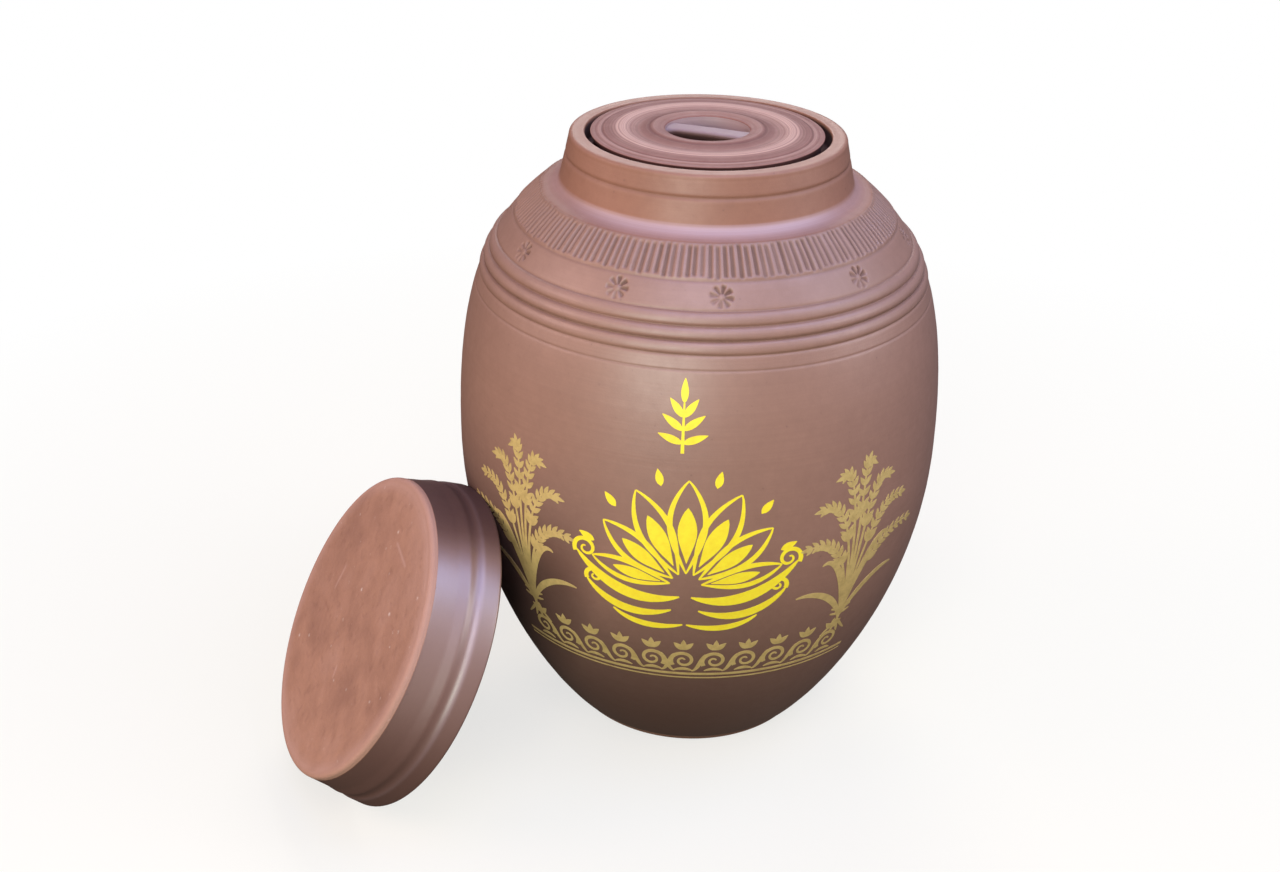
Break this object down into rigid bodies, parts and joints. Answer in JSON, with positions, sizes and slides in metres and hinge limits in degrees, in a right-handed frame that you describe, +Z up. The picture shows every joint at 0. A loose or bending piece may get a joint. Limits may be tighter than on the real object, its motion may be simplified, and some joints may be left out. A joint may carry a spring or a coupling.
{
  "type": "wine jar",
  "caption": "Unglazed stoneware wine jar with a ribbed shoulder, a plug lid with a sunken bar grip, and a cover cap leaning against the belly.",
  "frame": {"origin": "middle of the jar's foot, on the surface it stands on", "axes": "+Z up along the jar's axis, front of the jar towards -Y, the cover cap leans at the front left (-X, -Y)"},
  "size_m": [0.3542, 0.3096, 0.3357],
  "materials": {
    "jar_clay": "burnished, satin",
    "lid_clay": "turned, matt",
    "cap_clay": "smooth wall, rough face"
  },
  "bodies": {
    "jar": {"jar_body": "jar_clay"},
    "plug_lid": {"inner_lid": "lid_clay"},
    "cover_cap": {"outer_cap": "cap_clay"}
  },
  "joints": [
    {"name": "lid_lift", "type": "slide", "parent": "jar", "child": "plug_lid", "axis": [0, 0, 1], "range_m": [0, 0.12]},
    {"name": "cap_take_away", "type": "slide", "parent": "jar", "child": "cover_cap", "axis": [-0.7912, -0.3522, 0.5], "range_m": [0, 0.25]}
  ]
}
